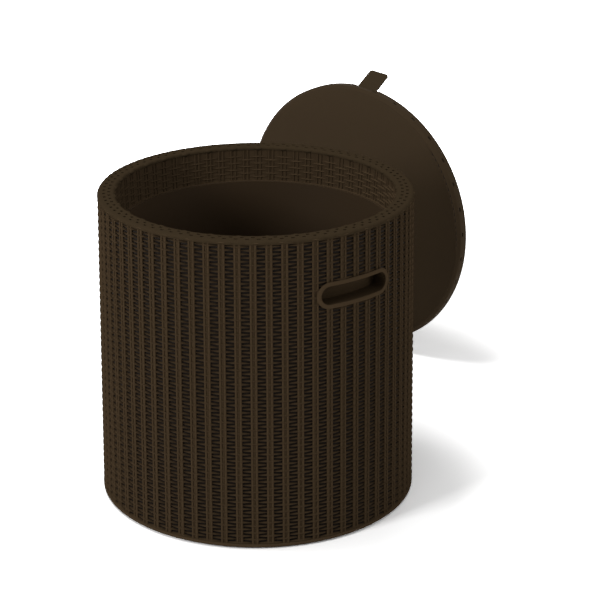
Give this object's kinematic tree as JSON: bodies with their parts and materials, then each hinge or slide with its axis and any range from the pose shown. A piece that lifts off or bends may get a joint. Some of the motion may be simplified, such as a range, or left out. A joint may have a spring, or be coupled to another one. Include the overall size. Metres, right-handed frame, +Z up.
{
  "type": "ice bucket coffee table",
  "caption": "Round wicker-look insulated ice tub with finger pockets, a drain and a loose lid with a pull strap that makes it a low table.",
  "frame": {"origin": "centre of the middle foot's underside, on the floor and on the tub's axis", "axes": "+Z up along the tub's axis, the finger pockets on +X and -X, the drain on +Y"},
  "size_m": [0.7231, 0.6966, 0.429],
  "materials": {
    "wicker_plastic": "moulded wicker relief, satin",
    "liner_plastic": "smooth satin",
    "foam": "expanded foam",
    "base_plastic": "satin",
    "handle_plastic": "smooth satin",
    "lid_plastic": "fine grained satin",
    "drain_plastic": "smooth",
    "seal_rubber": "soft",
    "foot_rubber": "matt",
    "strap_vinyl": "matt flexible vinyl",
    "screw_steel": "zinc plated"
  },
  "bodies": {
    "tub": {"outer_shell": "wicker_plastic", "inner_liner": "liner_plastic", "insulation_sleeve": "foam", "insulation_floor": "foam", "base_pan": "base_plastic", "base_screws": "screw_steel", "foot_pad_1": "foot_rubber", "foot_pad_2": "foot_rubber", "foot_pad_3": "foot_rubber", "foot_pad_4": "foot_rubber", "foot_pad_5": "foot_rubber", "handle_cup_right": "handle_plastic", "handle_cup_left": "handle_plastic", "drain_fitting": "drain_plastic", "drain_gasket": "seal_rubber", "drain_nut": "drain_plastic"},
    "plug": {"drain_plug": "drain_plastic", "drain_plug_seal": "seal_rubber"},
    "lid": {"lid_cover": "lid_plastic", "lid_liner": "lid_plastic", "lid_foam": "foam", "strap_bracket": "lid_plastic", "strap_rivets": "screw_steel", "strap_pin": "screw_steel"},
    "strap": {"pull_strap": "strap_vinyl"}
  },
  "joints": [
    {"name": "lid_lift", "type": "slide", "parent": "tub", "child": "lid", "axis": [0, 0, 1], "range_m": [0, 0.45]},
    {"name": "plug_pull", "type": "slide", "parent": "tub", "child": "plug", "axis": [0, 1, 0], "range_m": [0, 0.03]},
    {"name": "strap_hinge", "type": "hinge", "parent": "lid", "child": "strap", "pos_m": [-0.29661, 0.43443, 0.40571], "axis": [0.9738, 0.2141, -0.0767], "range_deg": [-55, 75]}
  ]
}
